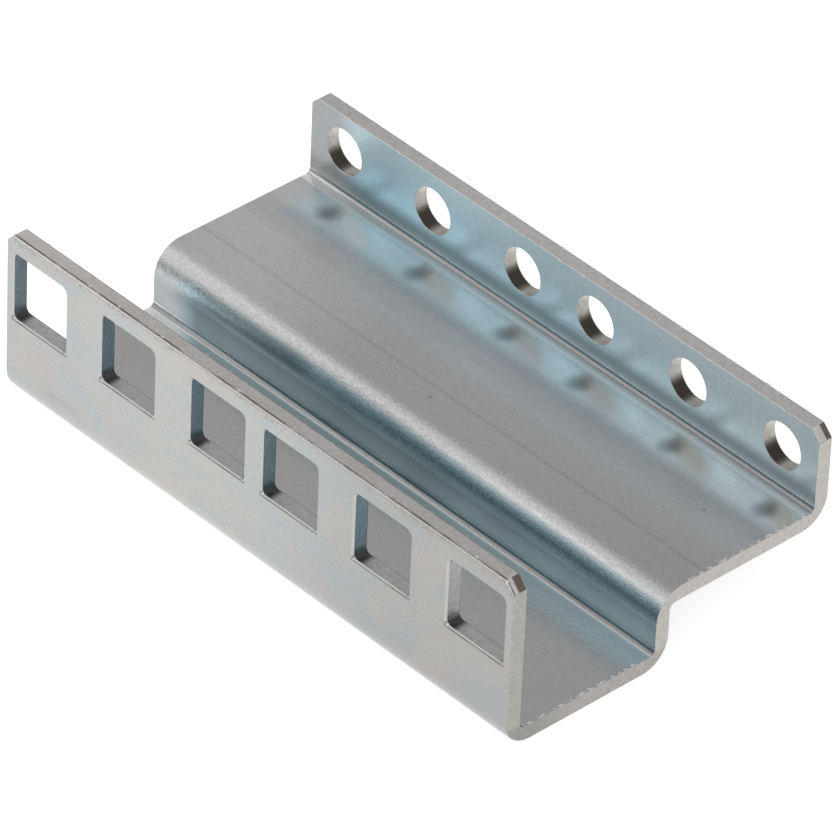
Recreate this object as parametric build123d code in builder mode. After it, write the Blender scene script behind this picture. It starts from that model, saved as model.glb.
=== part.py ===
"""Rack hole adapter bracket: one strip of zinc-plated steel sheet, punched flat and bent four times.

A tall flange with six square holes stands at the front, then come a channel floor, a short riser, a raised
shelf and a lower flange with six round holes at the back. X runs along the hole rows, the square-hole flange
faces -Y, and the origin is the middle of the plane under the channel floor.
"""
from build123d import *
import os

# Sheet and bends
sheet = 2.2
inner_radius = 0.8
bend_stretch = 1.0
edge_rollover = 0.25

# Hole rows, with two rack units of three holes
hole_pitch = 15.875
unit_gap = 12.7
holes_per_unit = 3
row_height = 16.85
square_hole = 9.5
square_hole_corner = 0.8
round_hole = 6.35

# Metal left round the holes
end_web = 1.2
square_top_web = 2.5
round_top_web = 2.0

# Section
overall_width = 50.8
channel_width = 21.3
shelf_height = 10.6

# Clipped flange corners
left_corner_cut = 1.0
right_corner_cut = 1.5
corner_blend = 0.4

# The bends are tight and thin the sheet, so their outer radius is larger than the inner one plus the sheet
outer_radius = inner_radius + sheet + bend_stretch

# Faces of the section along Y, and the tops of the flanges
front = -overall_width / 2
back = overall_width / 2
riser = front + sheet + channel_width
square_top = row_height + square_hole / 2 + square_top_web
round_top = row_height + round_hole / 2 + round_top_web

# Both rows have the same centres, as points in a plane whose second axis is Z
one_unit = [unit_gap / 2 + hole_pitch * step for step in range(holes_per_unit)]
hole_centres = [(side * x, row_height) for side in (-1, 1) for x in one_unit]
length = 2 * (one_unit[-1] + square_hole / 2 + end_web)

# The outer side of the sheet runs outside both flanges and under the floor and shelf
outer_corners = [
    (front, square_top),
    (front, 0),
    (riser + sheet, 0),
    (riser + sheet, shelf_height - sheet),
    (back, shelf_height - sheet),
    (back, round_top),
]
outer_bends = [outer_radius, outer_radius, inner_radius, outer_radius]

# The inner side runs back from the round-hole flange
inner_corners = [
    (back - sheet, round_top),
    (back - sheet, shelf_height),
    (riser, shelf_height),
    (riser, sheet),
    (front + sheet, sheet),
    (front + sheet, square_top),
]
inner_bends = [inner_radius, outer_radius, inner_radius, inner_radius]

with BuildPart() as bracket:
    # The folded strip
    with BuildSketch(Plane.YZ):
        with BuildLine():
            outer_side = FilletPolyline(*outer_corners, radius=outer_bends)
            inner_side = FilletPolyline(*inner_corners, radius=inner_bends)
            Line(outer_side @ 1, inner_side @ 0)
            Line(inner_side @ 1, outer_side @ 0)
        make_face()
    extrude(amount=length / 2, both=True)

    # Clipped corners at both ends of each flange, larger on the right, blended into the edges beside them
    for end, cut in ((0, left_corner_cut), (-1, right_corner_cut)):
        flange_tops = bracket.faces().filter_by(Axis.Z).sort_by(SortBy.AREA)[:2]
        chamfer(flange_tops.edges().filter_by(Axis.Y).group_by(Axis.X)[end], cut)
    clipped = bracket.faces().filter_by(lambda face: abs(face.normal_at().X * face.normal_at().Z) > 0.1)
    fillet(clipped.edges().filter_by(Axis.Y), corner_blend)

    # The edge of the blank, rolled over on the outer side, where the punch went in
    outer_path = Plane.YZ * outer_side.wire()
    ends = bracket.faces().filter_by(Axis.X).edges()
    punched = ends.filter_by(lambda edge: outer_path.distance_to(Vector(0, edge.center().Y, edge.center().Z)) < 0.01)
    fillet(punched, edge_rollover)

    # Square holes through the front flange, with the same rolled edge outside
    with BuildSketch(Plane.XZ.offset(-front)):
        with Locations(*hole_centres):
            RectangleRounded(square_hole, square_hole, square_hole_corner)
    extrude(amount=-sheet, mode=Mode.SUBTRACT)
    chamfer(bracket.edges(Select.LAST).group_by(Axis.Y)[0], edge_rollover)

    # Round holes through the back flange, likewise
    with Locations(Plane.XZ.offset(sheet - back)):
        with Locations(*hole_centres):
            Hole(round_hole / 2, depth=sheet)
    chamfer(bracket.edges(Select.LAST).group_by(Axis.Y)[-1], edge_rollover)

bracket.part.label = "bracket"

os.makedirs("parts", exist_ok=True)
export_step(bracket.part, "parts/bracket.step")
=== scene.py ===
"""Studio picture of a rack hole adapter bracket in zinc-plated steel, standing on a pale floor."""
import math
import random
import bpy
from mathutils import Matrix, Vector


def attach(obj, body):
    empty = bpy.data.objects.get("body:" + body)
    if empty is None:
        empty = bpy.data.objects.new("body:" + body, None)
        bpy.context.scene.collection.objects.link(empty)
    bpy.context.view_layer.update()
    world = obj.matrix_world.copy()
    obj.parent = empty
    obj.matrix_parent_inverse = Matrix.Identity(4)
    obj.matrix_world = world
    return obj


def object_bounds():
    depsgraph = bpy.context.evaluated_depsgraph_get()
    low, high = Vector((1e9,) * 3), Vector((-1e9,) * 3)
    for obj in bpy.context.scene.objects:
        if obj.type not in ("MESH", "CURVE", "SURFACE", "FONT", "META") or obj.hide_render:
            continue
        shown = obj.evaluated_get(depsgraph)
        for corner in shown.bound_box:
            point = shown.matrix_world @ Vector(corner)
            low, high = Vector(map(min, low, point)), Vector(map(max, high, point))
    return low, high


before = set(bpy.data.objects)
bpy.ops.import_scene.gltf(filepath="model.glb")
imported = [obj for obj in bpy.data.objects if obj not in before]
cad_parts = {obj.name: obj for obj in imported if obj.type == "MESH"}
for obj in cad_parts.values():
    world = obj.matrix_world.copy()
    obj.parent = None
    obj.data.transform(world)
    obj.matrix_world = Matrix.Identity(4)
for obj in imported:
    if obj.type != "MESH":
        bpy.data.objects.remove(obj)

from types import SimpleNamespace

import bmesh
import bpy
from mathutils import Matrix, Vector

cad_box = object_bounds()
BRACKET = "bracket"
MM = 0.001

# Camera, where the photograph was taken from
VIEW_AZIMUTH = 46.10
VIEW_ELEVATION = 37.18
VIEW_ROLL = 2.53
VIEW_DISTANCE = 1.0902
VIEW_TARGET = Vector((0.03, 0.89, 9.47)) * MM
VIEW_CLIP = (0.01, 20)
LENS = 397.9
SENSOR = 36.0

# Sizes of the bracket that its finish follows, in millimetres
END = 44.05
FRONT = -25.4
FLANGE_INNER = 23.2
HOLES_START = 12.0
TOPS_START = 21.75
SQUARE_TOP = 24.1
ROUND_TOP = 22.025
FLOOR_TOP = 2.2
SHELF_TOP = 10.6
LOW_FOLD = -2.7
FAR_FOLD = 22.4
RISER_REACH = 4.0
BEND_START = 6.4
FIRST_HOLE = 6.35
HOLE_PITCH = 15.875
HOLE_HEIGHT = 16.85
SQUARE_HALF = 4.75

# Where marks, painted light and painted shade lie on it, in millimetres. A shift is how far right of
# each hole.
STRIP_EDGE = (13.4, 17.0)
HOLE_REFLECTION_SHIFT, HOLE_REFLECTION_Y = 1.9, 19.0
GLINT_SHIFT, GLINT_HEIGHT = 6.3, 15.2
DRAWN_LINE_Y = 5.6
SOFT_BAND_Y = 14.4
FOLD_HIGHLIGHT_LINE = LOW_FOLD + 0.08
FOLD_SHADE_LINE = LOW_FOLD + 0.58
ROLLED_LINE_Y = FRONT + 0.38
NICK_LINE_Y = FRONT + 0.55
SCUFF_X, SCUFF_HEIGHT = -33.5, 4.9
RISE_START = 14.0

# Small marks of use: bright nicks along the top of the square-hole flange, and pits in the shelf
NICKS = (-29.6, -24.3, -16.7, -3.2, 37.4)
PITS = ((-1.0, 3.7), (35.5, 13.6))

# What the zinc reflects of white light, by surface; several of them also hold painted light, shade and
# reflections
SHEET_COLOUR = (0.53, 0.533, 0.533)
SHEET_COLOUR_PALE = (0.55, 0.545, 0.545)
BLUE_FILM_AND_REFLECTION = (0.56, 0.74, 0.81)
BLUE_FILM_AND_REFLECTION_THIN = (0.70, 0.83, 0.88)
BLUE_FILM_AND_REFLECTION_RISER = (0.55, 0.735, 0.81)
STRIP_REFLECTION_COLOUR_LEFT = (0.47, 0.56, 0.605)
STRIP_REFLECTION_COLOUR = (0.505, 0.56, 0.585)
STRIP_REFLECTION_COLOUR_RIGHT = (0.535, 0.56, 0.565)
PAINTED_LIGHT_BY_RISER_COLOUR = (0.55, 0.565, 0.575)
FRONT_COLOUR = (0.53, 0.535, 0.525)
FRONT_COLOUR_STRAW = (0.56, 0.55, 0.525)
FRONT_COLOUR_BLUE = (0.475, 0.54, 0.57)
FRONT_COLOUR_PINK = (0.58, 0.53, 0.52)
END_COLOUR = (0.60, 0.575, 0.54)
END_COLOUR_DULL = (0.44, 0.44, 0.415)
TOP_COLOUR = (0.72, 0.70, 0.685)
STAIN_COLOUR = (0.40, 0.30, 0.23)
ROLLED_LINE_COLOUR = (0.12, 0.10, 0.09)
NICK_COLOUR = (0.98, 0.98, 0.97)
CLIPPED_COLOUR = (0.22, 0.19, 0.17)
CLIPPED_COLOUR_BRIGHT = (0.84, 0.83, 0.81)
SQUARE_WALL_COLOUR = (0.32, 0.43, 0.48)
SQUARE_WALL_LEFT = (0.45, 0.54, 0.60)
SQUARE_WALL_RIGHT = (0.56, 0.55, 0.535)
LEDGE_COLOUR = (0.62, 0.62, 0.605)
ROUND_WALL_COLOUR = (0.62, 0.60, 0.56)
ROUND_WALL_SHADE = (0.09, 0.08, 0.07)
BURR_COLOUR = (0.82, 0.81, 0.79)

CUT_ROUGHNESS = 0.5
BURR_ROUGHNESS = 0.4
BUMP_DEPTH = 0.045 * MM
TOWARDS_LOWER_LEFT = (0.574, 0.819)

# Rows of burrs: the line, with None where it runs, the stretch of each burr, and the start, end and
# count along the line
BURR_ROWS = (
    ((None, FLANGE_INNER + 0.02, ROUND_TOP - 0.03), (2.4, 0.7, 0.7), -38, 41, 26),
    ((None, 25.2, ROUND_TOP - 0.03), (2.0, 0.7, 0.8), -38, 41, 10),
    ((None, -FLANGE_INNER - 0.02, SQUARE_TOP - 0.03), (2.2, 0.7, 0.6), -42, 41, 18),
    ((None, -25.1, SQUARE_TOP - 0.04), (2.4, 0.7, 0.6), -42, 41, 14),
    ((END - 0.2, None, FLOOR_TOP - 0.02), (1.0, 3.0, 0.8), -22, -4, 15),
    ((END - 0.2, None, SHELF_TOP - 0.02), (1.0, 3.0, 0.8), 2.5, 22, 16),
)
LARGE_BURRS = (
    ((33.3, 25.18, ROUND_TOP - 0.01), (4.5, 1.0, 1.9)),
    ((42.7, -25.15, SQUARE_TOP - 0.12), (2.6, 1.2, 1.2)),
)
BURR_SEED = 7
BURR_RADIUS = (0.09, 0.2)
BURR_ROUGHENING = (0.8, 1.15)
BURR_LEAN = 0.4
BOX_MARGIN = 2e-6

# Floor, room and lamps
FLOOR_RADIUS = 1.6
FLOOR_DROP = 0.0001
FLOOR_COLOUR = (0.8, 0.8, 0.8)
FLOOR_GLOW_SEEN = 0.62
FLOOR_GLOW_IN_METAL = 0.5
ROOM_HEIGHTS = (0.12, 0.5)
ROOM_LEVELS = (0.22, 0.57)
# Lamps: the direction they stand in, and their distance, width, height and radiance
KEY = ((-0.57, -0.57, 0.59), 0.8, 1.15, 0.64, 0.55)
FILL = ((0.6, -0.5, 0.6), 0.9, 0.9, 0.9, 1.0)

WHITE = (1.0, 1.0, 1.0)


class Graph:
    """A node tree with short calls for the nodes that the materials here use."""

    def __init__(self, owner):
        owner.use_nodes = True
        self.tree = owner.node_tree
        self.tree.nodes.clear()

    def node(self, kind, inputs=None, **settings):
        made = self.tree.nodes.new(kind)
        for name, value in settings.items():
            setattr(made, name, value)
        for name, value in (inputs or {}).items():
            self.put(made.inputs[name], value)
        return made

    def put(self, socket, value):
        if isinstance(value, bpy.types.NodeSocket):
            self.tree.links.new(value, socket)
        elif isinstance(value, tuple) and socket.type == "RGBA" and len(value) == 3:
            socket.default_value = (*value, 1.0)
        else:
            socket.default_value = value

    def surface(self, kind, socket):
        """Joins a socket to the tree's output node."""
        self.put(self.node(kind).inputs["Surface"], socket)

    def math(self, operation, first, second=0.0, third=0.0):
        made = self.node("ShaderNodeMath", operation=operation)
        for socket, value in zip(made.inputs, (first, second, third)):
            self.put(socket, value)
        return made.outputs[0]

    def add(self, first, second):
        return self.math("ADD", first, second)

    def times(self, first, second):
        return self.math("MULTIPLY", first, second)

    def less(self, first, second):
        return self.math("SUBTRACT", first, second)

    def size(self, value):
        return self.math("ABSOLUTE", value)

    def inverse(self, share):
        return self.less(1.0, share)

    def all_of(self, *values):
        result = values[0]
        for value in values[1:]:
            result = self.times(result, value)
        return result

    def highest(self, *values):
        result = values[0]
        for value in values[1:]:
            result = self.math("MAXIMUM", result, value)
        return result

    def ramp(self, value, start, end, low=0.0, high=1.0):
        """low before start, high after end, and smooth between them."""
        made = self.node("ShaderNodeMapRange", interpolation_type="SMOOTHSTEP")
        limits = (("From Min", start), ("From Max", end), ("To Min", low), ("To Max", high))
        for name, number in limits:
            self.put(made.inputs[name], number)
        self.put(made.inputs["Value"], value)
        return made.outputs["Result"]

    def band(self, value, centre, half_width, softness):
        """1 where the value is near the centre, and 0 beyond half_width plus softness."""
        away = self.size(self.less(value, centre))
        return self.ramp(away, half_width, half_width + softness, 1.0, 0.0)

    def mix(self, share, first, second):
        made = self.node("ShaderNodeMix", data_type="RGBA")
        for socket, value in ((0, share), (6, first), (7, second)):
            self.put(made.inputs[socket], value)
        return made.outputs[2]

    def mixed(self, share, first, second):
        """The same for plain numbers."""
        made = self.node("ShaderNodeMix", data_type="FLOAT")
        for socket, value in ((0, share), (2, first), (3, second)):
            self.put(made.inputs[socket], value)
        return made.outputs[0]

    def scaled(self, colour, factor):
        """The colour, lighter or darker by a factor."""
        made = self.node("ShaderNodeVectorMath", {0: colour, 3: factor}, operation="SCALE")
        return made.outputs[0]

    def shade(self, colour, *steps):
        """The colour, lighter or darker by each step's factor where that step's share is 1."""
        for share, factor in steps:
            colour = self.scaled(colour, self.mixed(share, 1.0, factor))
        return colour

    def apart(self, first, second):
        """How far apart two places are, from how far along each axis."""
        return self.math("SQRT", self.add(self.times(first, first), self.times(second, second)))

    def past_hole(self, along):
        """How far a place along the rows lies outward of the nearest hole centre, below 0 if inward."""
        start, end = FIRST_HOLE - HOLE_PITCH / 2, FIRST_HOLE + HOLE_PITCH / 2
        return self.less(self.math("WRAP", self.size(along), end, start), FIRST_HOLE)

    def noise(self, place, scale, detail=2.0, roughness=0.5, stretch=(1, 1, 1), offset=(0, 0, 0)):
        """Noise from 0 to 1 with scale features to the millimetre, drawn out by stretch."""
        spot = self.node(
            "ShaderNodeMapping",
            {"Vector": place, "Location": offset, "Scale": tuple(scale / s for s in stretch)},
        )
        made = self.node(
            "ShaderNodeTexNoise",
            {"Vector": spot.outputs[0], "Scale": 1.0, "Detail": detail, "Roughness": roughness},
        )
        return made.outputs["Fac"]

    def object_space(self):
        """The place in millimetres, and the place and normal split into X, Y and Z."""
        coordinates = self.node("ShaderNodeTexCoord").outputs
        place = self.scaled(coordinates["Object"], 1 / MM)
        xyz = self.node("ShaderNodeSeparateXYZ", {0: place}).outputs
        normal = self.node("ShaderNodeSeparateXYZ", {0: coordinates["Normal"]}).outputs
        return place, xyz, normal


def bracket_surfaces(g):
    """The place and normal of a point, and a mask from 0 to 1 for each kind of surface."""
    at = SimpleNamespace()
    at.place, (at.x, at.y, at.z), (at.nx, at.ny, at.nz) = g.object_space()
    facing_along_y = g.size(at.ny)
    at.on_flange = g.ramp(g.size(at.y), FLANGE_INNER + 0.03, FLANGE_INNER + 0.1)
    at.between_flanges = g.inverse(at.on_flange)
    at.flat = g.ramp(at.nz, 0.9, 0.99)
    upright = g.ramp(facing_along_y, 0.7, 0.98)

    # Cut faces: the ends, the tops of the flanges and the walls of the holes
    at.ends = g.times(g.ramp(g.size(at.nx), 0.5, 0.9), g.ramp(g.size(at.x), END - 0.75, END - 0.65))
    at.tops = g.all_of(
        g.ramp(at.z, TOPS_START, TOPS_START + 0.05), at.on_flange, g.ramp(at.nz, 0.3, 0.8)
    )
    at.walls = g.all_of(
        at.on_flange,
        g.ramp(at.z, HOLES_START, HOLES_START + 0.1),
        g.ramp(facing_along_y, 0.25, 0.6, 1.0, 0.0),
    )
    at.cut = g.highest(at.ends, at.walls)

    # The sheet's own two sides
    at.inside = g.times(upright, at.between_flanges)
    at.front = g.times(g.ramp(at.y, -FLANGE_INNER - 1.2, -FLANGE_INNER - 0.8, 1.0, 0.0), upright)
    at.far_flange = g.ramp(at.y, FAR_FOLD - 0.1, FAR_FOLD + 0.1)
    at.near_flange = g.ramp(at.y, -FLANGE_INNER + 0.5, -FLANGE_INNER + 0.3)
    at.riser = g.times(at.inside, g.band(at.y, 0.0, RISER_REACH, 0.5))
    at.shelf = g.all_of(at.flat, at.between_flanges, g.ramp(at.z, SHELF_TOP - 0.1, SHELF_TOP - 0.05))

    at.square_row = g.ramp(at.y, 0, -1)
    at.round_row = g.ramp(at.y, -1, 1)
    at.beside_hole = g.times(g.math("SIGN", at.x), g.past_hole(at.x))
    at.above_hole = g.less(at.z, HOLE_HEIGHT)
    return at


def zinc_patterns(g, place):
    """The noises that the finish is made of, from the finest to the broadest."""
    return SimpleNamespace(
        sparkle=g.noise(place, 8.5, detail=0.0, offset=(1, 8, 5)),
        grain=g.noise(place, 5.2, detail=1.0),
        specks=g.noise(place, 2.6, detail=1.0, offset=(3, 50, 9)),
        chips=g.noise(place, 1.7, detail=3.0, roughness=0.7, offset=(7, 3, 1)),
        lines=g.noise(place, 1.6, detail=3.0, roughness=0.6, stretch=(60, 1, 1)),
        patches=g.noise(place, 0.3, detail=3.0, roughness=0.6, stretch=(1.6, 1, 1), offset=(9, 4, 2)),
        clouds=g.noise(place, 0.09, detail=3.0, stretch=(1.6, 1, 1)),
        tint=g.noise(place, 0.06, detail=2.0, offset=(31, 7, 3)),
    )


def inside_colour(g, at, pattern):
    """The sheet inside, with painted light at the left of the shelf and a blue tint on what stands
    upright, partly the zinc's own passivate and partly painted reflection.
    """
    x, y, z = at.x, at.y, at.z
    sheet = g.mix(g.ramp(pattern.tint, 0.35, 0.65), SHEET_COLOUR, SHEET_COLOUR_PALE)
    raised = g.all_of(
        at.between_flanges, g.inverse(at.inside), g.ramp(z, SHELF_TOP - 1.0, SHELF_TOP - 0.3)
    )
    # Painted light: the shelf is lighter towards its left end and a little darker towards its right.
    raised_level = g.times(g.ramp(x, -38, -8, 1.26, 1.0), g.ramp(x, 10, 36, 1.0, 0.96))
    sheet = g.shade(sheet, (raised, raised_level))

    # The blue tint is partly the zinc's own passivate and partly painted reflection: thinner to the
    # right, darker at the left of the far flange, with its own colour on the riser.
    film_and_reflection = g.mix(g.ramp(x, -20, 42), BLUE_FILM_AND_REFLECTION, BLUE_FILM_AND_REFLECTION_THIN)
    film_and_reflection = g.shade(film_and_reflection, (at.far_flange, g.ramp(x, -34, -16, 0.76, 1.04)))
    film_and_reflection = g.mix(at.riser, film_and_reflection, BLUE_FILM_AND_REFLECTION_RISER)
    # Painted shade: at the left end the blue tint stops and the far flange is darkened.
    bare_and_shaded_left_end = g.mixed(
        at.riser, g.ramp(x, -40, -34, 0.85, 0.0), g.ramp(x, -41, -37, 0.85, 0.0)
    )
    sheet = g.shade(sheet, (g.all_of(at.inside, at.far_flange, bare_and_shaded_left_end), 0.6))
    sheet = g.mix(g.times(at.inside, g.inverse(bare_and_shaded_left_end)), sheet, film_and_reflection)

    sheet = painted_reflection_strip(g, at, sheet)
    # Painted light: the floor beside the riser is lightened above white, for the dark riser that it
    # mirrors.
    painted_light_by_riser = g.all_of(
        at.flat, g.ramp(z, FLOOR_TOP + 0.3, FLOOR_TOP + 0.2), g.ramp(y, -7.5, -2.8)
    )
    return g.mix(painted_light_by_riser, sheet, g.scaled(PAINTED_LIGHT_BY_RISER_COLOUR, g.ramp(x, 12, 36, 2.1, 2.5)))


def painted_reflection_strip(g, at, sheet):
    """Painted reflection: a bluer strip along the shelf with a painted dark reflection by each hole,
    and paler places on the flange, painted light where those dark spots are mirrored.
    """
    x, y = at.x, at.y
    strip = g.all_of(at.shelf, g.ramp(y, *STRIP_EDGE), g.ramp(x, -END + 2.0, -END + 5.0))
    level = g.all_of(
        g.ramp(x, -34, -16, 1.38, 1.08),
        g.ramp(y, 20.8, 22.2, 1.0, 1.3),
        g.ramp(y, 15.2, 18.2, 0.76, 1.0),
    )
    colour = g.mix(g.ramp(x, -34, -16), STRIP_REFLECTION_COLOUR_LEFT, STRIP_REFLECTION_COLOUR)
    colour = g.mix(g.ramp(x, 0, 36), colour, STRIP_REFLECTION_COLOUR_RIGHT)
    sheet = g.mix(strip, sheet, g.scaled(colour, level))
    from_hole_reflection = g.apart(g.past_hole(g.less(x, HOLE_REFLECTION_SHIFT)), g.less(y, HOLE_REFLECTION_Y))
    from_glint = g.apart(g.past_hole(g.less(x, GLINT_SHIFT)), g.less(at.z, GLINT_HEIGHT))
    return g.shade(
        sheet,
        (strip, g.ramp(from_hole_reflection, 0.2, 2.4, 0.46, 1.0)),
        (g.times(at.far_flange, at.inside), g.ramp(from_glint, 0.3, 3.2, 1.2, 1.0)),
    )


def shade_folds(g, at, sheet):
    """Painted shade in the channel and at the base of the far flange, and painted highlights and shade
    lines at the inner folds and the bend.
    """
    x, y, z = at.x, at.y, at.z
    riser_shade = g.all_of(
        g.ramp(x, -41.2, -35.6, 0.8, 0.28),
        g.ramp(x, -26, -16, 1.0, 1.05),
        g.ramp(x, 2, 14, 1.0, 1.2),
        g.ramp(x, 16, 34, 1.0, 1.22),
    )
    flange_base_shade = g.times(
        g.ramp(z, SHELF_TOP + 1.5, SHELF_TOP + 4.3, 0.31, 1.0),
        g.ramp(z, SHELF_TOP + 0.3, SHELF_TOP + 1.3, 1.9, 1.0),
    )
    far_side = g.times(at.far_flange, at.between_flanges)
    above_far_fold = g.band(z, SHELF_TOP + 0.65, 0.1, 0.15)
    above_low_fold = g.times(g.band(z, FLOOR_TOP + 0.58, 0.1, 0.14), g.band(y, -2.0, 0.3, 0.1))
    in_low_fold = g.ramp(z, FLOOR_TOP + 0.7, FLOOR_TOP + 0.9, 1.0, 0.0)
    left_of_bend = g.all_of(
        at.inside,
        g.band(y, 0.0, RISER_REACH, 0.5),
        g.ramp(z, BEND_START, BEND_START + 1.0),
        g.band(x, -27.0, 7.0, 6.0),
    )
    right_of_bend = g.all_of(
        at.between_flanges,
        g.band(z, 8.7, 0.55, 0.5),
        g.band(y, 0.0, 3.0, 0.5),
        g.ramp(x, -8, 22),
    )
    # Painted shade on the riser, inside the near flange and at the far flange's base; painted light
    # just above the folds and along the shelf by the far fold; a painted highlight line and a shade
    # line in the low fold; painted shade left of the bend and a painted highlight right of it.
    return g.shade(
        sheet,
        (g.times(at.riser, g.ramp(z, 5.8, 8.0, 1.0, 0.15)), riser_shade),
        (g.times(at.near_flange, at.inside), 0.84),
        (g.times(far_side, g.ramp(x, -42, -35, 0.4, 1.0)), flange_base_shade),
        (g.times(far_side, above_far_fold), 1.3),
        (g.times(at.between_flanges, above_low_fold), 2.4),
        (at.shelf, g.ramp(y, FAR_FOLD - 1.1, FAR_FOLD - 0.1, 1.0, 1.8)),
        (g.times(g.band(y, FOLD_HIGHLIGHT_LINE, 0.17, 0.1), in_low_fold), 1.9),
        (left_of_bend, 0.55),
        (right_of_bend, 1.45),
        (g.times(g.band(y, FOLD_SHADE_LINE, 0.18, 0.14), in_low_fold), 0.6),
    )


def outside_colour(g, at, pattern):
    """The outside, mottled, darker to the right and scuffed at the left."""
    outside = g.mix(g.ramp(pattern.tint, 0.3, 0.7), FRONT_COLOUR, FRONT_COLOUR_STRAW)
    outside = g.mix(g.ramp(pattern.patches, 0.52, 0.72, 0.0, 0.75), outside, FRONT_COLOUR_BLUE)
    outside = g.mix(g.ramp(pattern.patches, 0.48, 0.3, 0.0, 0.7), outside, FRONT_COLOUR_PINK)
    outside = g.mix(g.ramp(pattern.clouds, 0.48, 0.62, 0.0, 0.4), outside, FRONT_COLOUR_BLUE)
    level = g.times(g.ramp(at.x, -2, 26, 0.97, 0.83), g.ramp(at.x, -40, -20, 0.94, 1.0))
    outside = g.scaled(outside, level)
    scuffs = g.all_of(
        g.band(at.x, SCUFF_X, 2.0, 1.5),
        g.band(at.z, SCUFF_HEIGHT, 0.1, 0.8),
        g.ramp(pattern.lines, 0.5, 0.62),
    )
    return g.shade(outside, (scuffs, 0.82))


def shade_hole_rims(g, at, pattern, sheet):
    """Painted shade on the rolled edge under each square hole, darker than the front."""
    beyond = g.highest(g.size(at.beside_hole), g.size(at.above_hole))
    rim = g.all_of(
        g.ramp(at.y, FRONT + 0.3, FRONT + 0.24),
        g.band(beyond, SQUARE_HALF + 0.2, 0.04, 0.06),
        g.ramp(at.above_hole, -SQUARE_HALF + 0.25, -SQUARE_HALF - 0.05),
    )
    return g.shade(sheet, (rim, g.ramp(pattern.patches, 0.3, 0.6, 0.3, 0.55)))


def hole_wall_colour(g, at):
    """Walls that are blue in the square holes, with a lighter ledge and a painted shadow in each lower
    left corner, and painted shade at the lower left of the round ones.
    """
    share_x, share_z = TOWARDS_LOWER_LEFT
    lower_left = g.add(g.times(at.nx, share_x), g.times(at.nz, share_z))
    round_wall = g.mix(g.ramp(lower_left, 0.78, 0.98), ROUND_WALL_COLOUR, ROUND_WALL_SHADE)
    # Painted light: round-hole walls that face down are lighter.
    round_wall = g.scaled(round_wall, g.ramp(at.nz, -0.5, 0.0, 1.45, 1.0))

    square_wall = g.mix(g.ramp(at.x, -36, -30), SQUARE_WALL_LEFT, SQUARE_WALL_COLOUR)
    square_wall = g.mix(g.ramp(at.x, 22, 34), square_wall, SQUARE_WALL_RIGHT)
    # Painted light: the ledge at the foot of each square hole, which faces up, is lighter.
    square_wall = g.mix(g.ramp(at.nz, 0.3, 0.8), square_wall, LEDGE_COLOUR)
    # Painted shadow in the lower left corner of each square hole.
    from_corner = g.apart(g.add(at.beside_hole, SQUARE_HALF - 0.5), g.add(at.above_hole, SQUARE_HALF))
    square_wall = g.scaled(square_wall, g.ramp(from_corner, 0.3, 1.5, 0.16, 1.0))
    return g.mix(at.round_row, square_wall, round_wall)


def add_cut_faces(g, at, pattern, sheet):
    """The sheet's colour, with the hole walls, the flange tops, the ends and the clipped corners."""
    colour = g.mix(at.walls, sheet, hole_wall_colour(g, at))
    colour = g.mix(at.tops, colour, TOP_COLOUR)
    end_colour = g.mix(g.ramp(at.y, -14, -22, 0.0, 0.8), END_COLOUR, END_COLOUR_DULL)
    colour = g.mix(at.ends, colour, end_colour)
    colour = g.shade(
        colour,
        (at.ends, g.ramp(at.z, 2.0, 3.2, 0.84, 1.0)),
        (at.cut, g.ramp(pattern.chips, 0.32, 0.62, 0.93, 1.05)),
    )
    # Painted light and shade on the clipped corners: bright on the side that faces the front, dark on
    # the other.
    clipped = g.all_of(
        g.ramp(at.nx, 0.4, 0.6), g.ramp(at.nz, 0.4, 0.6), g.ramp(at.x, 41.0, 41.5), at.on_flange
    )
    lit_side = g.mixed(at.round_row, g.ramp(at.y, -24.2, -24.5), g.ramp(at.y, 24.6, 24.3))
    return g.mix(clipped, colour, g.mix(lit_side, CLIPPED_COLOUR, CLIPPED_COLOUR_BRIGHT))


def add_marks(g, at, pattern, colour):
    """Stains, a painted shade line and nicks along the top of the square-hole flange, and pits, a line
    and a darker band on the shelf.
    """
    x, y = at.x, at.y
    by_top = g.ramp(at.z, SQUARE_TOP - 1.3, SQUARE_TOP - 0.4)
    stained = g.all_of(
        by_top,
        g.ramp(pattern.chips, 0.42, 0.6),
        g.ramp(pattern.patches, 0.45, 0.6, 0.1, 0.6),
        g.inverse(at.ends),
        g.mixed(at.tops, 1.0, 0.35),
    )
    colour = g.mix(stained, colour, STAIN_COLOUR)

    top_level = g.mixed(
        at.round_row, g.ramp(x, -END, -8, 1.16, 1.0), g.ramp(x, -END, -8, 0.96, 1.04)
    )
    colour = g.shade(colour, (at.tops, top_level))
    # Painted shade: a dark line along the rolled front edge of the top.
    rolled_line = g.all_of(
        at.tops, g.band(y, ROLLED_LINE_Y, 0.06, 0.12), g.ramp(pattern.patches, 0.38, 0.6, 0.12, 0.85)
    )
    colour = g.mix(rolled_line, colour, ROLLED_LINE_COLOUR)
    nicks = g.highest(*(
        g.ramp(g.apart(g.less(x, nick), g.less(y, NICK_LINE_Y)), 0.28, 0.12) for nick in NICKS
    ))
    colour = g.mix(g.all_of(at.tops, nicks, at.square_row), colour, NICK_COLOUR)

    pits = g.highest(*(
        g.ramp(g.apart(g.less(x, along), g.less(y, across)), 0.5, 0.15) for along, across in PITS
    ))
    # Pits and a drawn line in the shelf, and a broad band of it that is darker.
    return g.shade(
        colour,
        (g.times(at.shelf, pits), 0.78),
        (g.times(at.shelf, g.band(y, DRAWN_LINE_Y, 0.1, 0.35)), 0.9),
        (g.times(at.shelf, g.band(y, SOFT_BAND_Y, 1.0, 2.4)), 0.9),
    )


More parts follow.
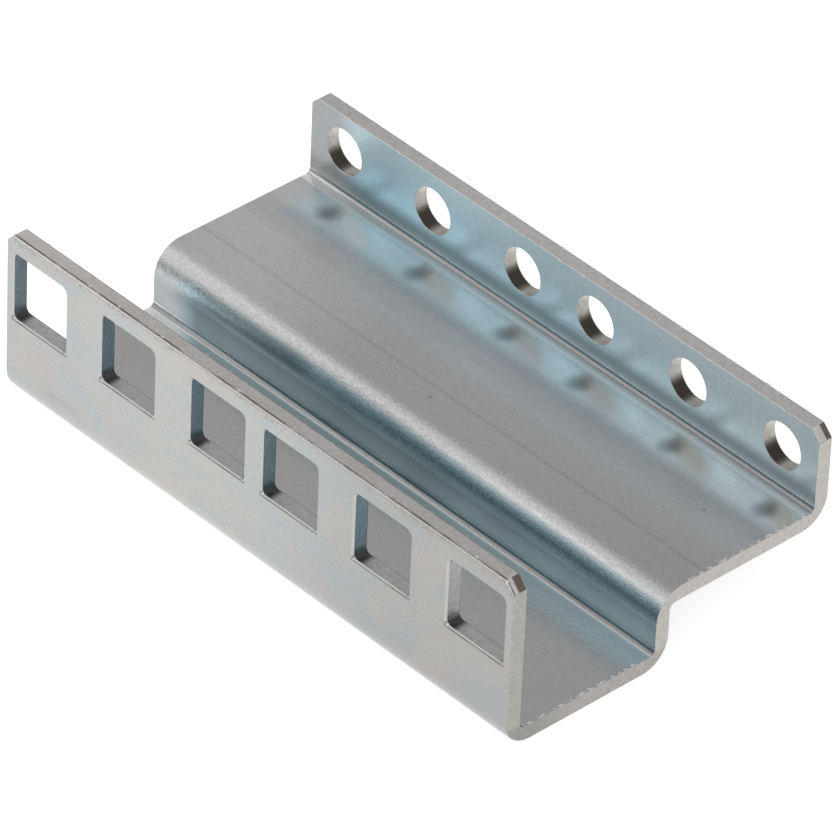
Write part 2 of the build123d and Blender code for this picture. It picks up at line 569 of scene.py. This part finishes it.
def zinc_colour(g, at, pattern):
    sheet = shade_folds(g, at, inside_colour(g, at, pattern))
    sheet = g.mix(at.front, sheet, outside_colour(g, at, pattern))
    sheet = shade_hole_rims(g, at, pattern, sheet)
    colour = add_marks(g, at, pattern, add_cut_faces(g, at, pattern, sheet))
    colour = g.scaled(colour, g.ramp(at.x, -END, END, 1.0, 0.93))
    return g.scaled(colour, g.ramp(pattern.specks, 0.35, 0.65, 1.0, 0.93))


def zinc_gloss_and_relief(g, at, pattern):
    """The roughness, and the height of the grain and of the shelf, which rises towards its flange."""
    stretched = g.times(g.band(at.y, 0.1, 1.9, 0.6), g.ramp(at.z, BEND_START, BEND_START + 0.8))
    roughness = g.add(
        g.ramp(pattern.clouds, 0.3, 0.7, 0.19, 0.23), g.times(g.less(pattern.lines, 0.5), 0.06)
    )
    roughness = g.add(roughness, g.times(stretched, g.ramp(pattern.specks, 0.3, 0.7, -0.06, 0.06)))
    roughness = g.mixed(at.cut, roughness, CUT_ROUGHNESS)

    beyond_start = g.less(g.math("MINIMUM", at.y, FAR_FOLD), RISE_START)
    rise = g.math("SMOOTH_MAX", beyond_start, 0.0, 3.0)
    height = g.times(g.add(pattern.grain, g.times(pattern.lines, 0.1)), g.mixed(stretched, 0.4, 0.55))
    height = g.add(height, g.times(stretched, g.times(pattern.sparkle, 0.6)))
    height = g.add(height, g.times(g.times(at.cut, pattern.chips), 3.0))
    return roughness, g.add(height, g.times(rise, 2.5))


def zinc_plated_steel():
    """Bright zinc over rolled sheet: fine grain, faint rolling lines, blue inside and straw outside,
    with painted light, shade and reflections at the folds, holes and shelf.
    """
    material = bpy.data.materials.new("zinc_plated_steel")
    g = Graph(material)
    at = bracket_surfaces(g)
    pattern = zinc_patterns(g, at.place)
    colour = zinc_colour(g, at, pattern)
    roughness, height = zinc_gloss_and_relief(g, at, pattern)
    bump = g.node("ShaderNodeBump", {"Height": height, "Distance": BUMP_DEPTH, "Strength": 1.0})
    shader = g.node(
        "ShaderNodeBsdfPrincipled",
        {"Base Color": colour, "Metallic": 1.0, "Roughness": roughness, "Normal": bump.outputs[0]},
    )
    g.surface("ShaderNodeOutputMaterial", shader.outputs[0])
    return material


def bright_zinc():
    """Freshly torn zinc, brighter than the sheet."""
    material = bpy.data.materials.new("bright_zinc")
    g = Graph(material)
    shader = g.node(
        "ShaderNodeBsdfPrincipled",
        {"Base Color": BURR_COLOUR, "Metallic": 1.0, "Roughness": BURR_ROUGHNESS},
    )
    g.surface("ShaderNodeOutputMaterial", shader.outputs[0])
    return material


def dress_bracket():
    zinc = zinc_plated_steel()
    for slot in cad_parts[BRACKET].material_slots:
        slot.material = zinc


def spread(chance, start, end, count):
    """Uneven places between start and end."""
    step = (end - start) / count
    return [start + step * (index + chance.uniform(0.1, 0.9)) for index in range(count)]


def burr_places(chance):
    """The place and stretch of each burr."""
    places = []
    for line, stretch, start, end, count in BURR_ROWS:
        for run in spread(chance, start, end, count):
            places.append((tuple(run if value is None else value for value in line), stretch))
    return places + list(LARGE_BURRS)


def add_burrs():
    """Crumbs of metal that the punch left on the upper edges of the flanges and of the right end."""
    chance = random.Random(BURR_SEED)
    mesh = bmesh.new()
    for place, stretch in burr_places(chance):
        radius = chance.uniform(*BURR_RADIUS)
        crumb = bmesh.ops.create_icosphere(mesh, subdivisions=2, radius=radius)["verts"]
        angle = chance.uniform(-BURR_LEAN, BURR_LEAN)
        lean = Matrix.Rotation(angle, 4, (chance.random(), chance.random(), chance.random()))
        for corner in crumb:
            rough = corner.co * chance.uniform(*BURR_ROUGHENING)
            moved = (lean @ Vector(a * b for a, b in zip(rough, stretch)) + Vector(place)) * MM
            corner.co = [
                min(max(value, low + BOX_MARGIN), high - BOX_MARGIN)
                for value, low, high in zip(moved, *cad_box)
            ]
    data = bpy.data.meshes.new("edge_burrs")
    mesh.to_mesh(data)
    mesh.free()
    data.materials.append(bright_zinc())
    burrs = bpy.data.objects.new("edge_burrs", data)
    bpy.context.scene.collection.objects.link(burrs)
    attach(burrs, "root")


def floor_material():
    """A table top that shows white to the eye and to polished metal, and keeps the shadow."""
    material = bpy.data.materials.new("white_floor")
    g = Graph(material)
    rays = g.node("ShaderNodeLightPath").outputs
    in_metal = g.highest(rays["Is Glossy Ray"], rays["Is Transmission Ray"])
    seen = g.add(
        g.times(rays["Is Camera Ray"], FLOOR_GLOW_SEEN), g.times(in_metal, FLOOR_GLOW_IN_METAL)
    )
    table = g.node("ShaderNodeBsdfDiffuse", {"Color": FLOOR_COLOUR})
    glow = g.node("ShaderNodeEmission", {"Color": WHITE, "Strength": seen})
    lit = g.node("ShaderNodeAddShader", {0: table.outputs[0], 1: glow.outputs[0]})
    clear = g.node("ShaderNodeBsdfTransparent")
    below = g.node("ShaderNodeNewGeometry").outputs["Backfacing"]
    one_sided = g.node("ShaderNodeMixShader", {0: below, 1: lit.outputs[0], 2: clear.outputs[0]})
    g.surface("ShaderNodeOutputMaterial", one_sided.outputs[0])
    return material


def add_floor():
    bpy.ops.mesh.primitive_circle_add(
        vertices=96, radius=FLOOR_RADIUS, fill_type="NGON", location=(0, 0, -FLOOR_DROP)
    )
    floor = bpy.context.object
    floor.name = "floor"
    floor.data.materials.append(floor_material())


def add_world():
    """A plain grey room, darker towards the horizon, so that the metal has something to show."""
    world = bpy.data.worlds.new("studio")
    bpy.context.scene.world = world
    g = Graph(world)
    direction = g.node("ShaderNodeTexCoord").outputs["Generated"]
    height = g.node("ShaderNodeSeparateXYZ", {0: direction}).outputs[2]
    level = g.ramp(height, *ROOM_HEIGHTS, *ROOM_LEVELS)
    room = g.node("ShaderNodeBackground", {"Color": WHITE, "Strength": level})
    g.surface("ShaderNodeOutputWorld", room.outputs[0])


def add_softbox(name, direction, distance, width, height, radiance):
    """A lamp that faces the bracket, its width along X, as bright as a surface of that radiance."""
    lamp = bpy.data.lights.new(name, "AREA")
    lamp.shape = "RECTANGLE"
    lamp.size = width
    lamp.size_y = height
    lamp.color = WHITE
    lamp.energy = radiance * math.pi * width * height
    made = bpy.data.objects.new(name, lamp)
    bpy.context.scene.collection.objects.link(made)
    out = Vector(direction).normalized()
    along = (Vector((1, 0, 0)) - out * out.x).normalized()
    turn = Matrix((along, out.cross(along), out)).transposed().to_4x4()
    made.matrix_world = Matrix.Translation(out * distance) @ turn


def add_camera():
    azimuth, elevation, roll = (math.radians(v) for v in (VIEW_AZIMUTH, VIEW_ELEVATION, VIEW_ROLL))
    back = Vector((
        math.sin(azimuth) * math.cos(elevation),
        -math.cos(azimuth) * math.cos(elevation),
        math.sin(elevation),
    ))
    level_right = Vector((math.cos(azimuth), math.sin(azimuth), 0))
    level_up = back.cross(level_right)
    right = level_right * math.cos(roll) + level_up * math.sin(roll)
    up = level_up * math.cos(roll) - level_right * math.sin(roll)
    turn = Matrix((right, up, back)).transposed().to_4x4()
    camera = bpy.data.cameras.new("camera")
    camera.sensor_width = SENSOR
    camera.lens = LENS
    camera.clip_start, camera.clip_end = VIEW_CLIP
    made = bpy.data.objects.new("camera", camera)
    bpy.context.scene.collection.objects.link(made)
    made.matrix_world = Matrix.Translation(VIEW_TARGET + back * VIEW_DISTANCE) @ turn
    bpy.context.scene.camera = made


dress_bracket()
add_burrs()
add_floor()
add_world()
add_softbox("key", *KEY)
add_softbox("fill", *FILL)
add_camera()

bpy.context.scene.view_settings.view_transform = "Standard"
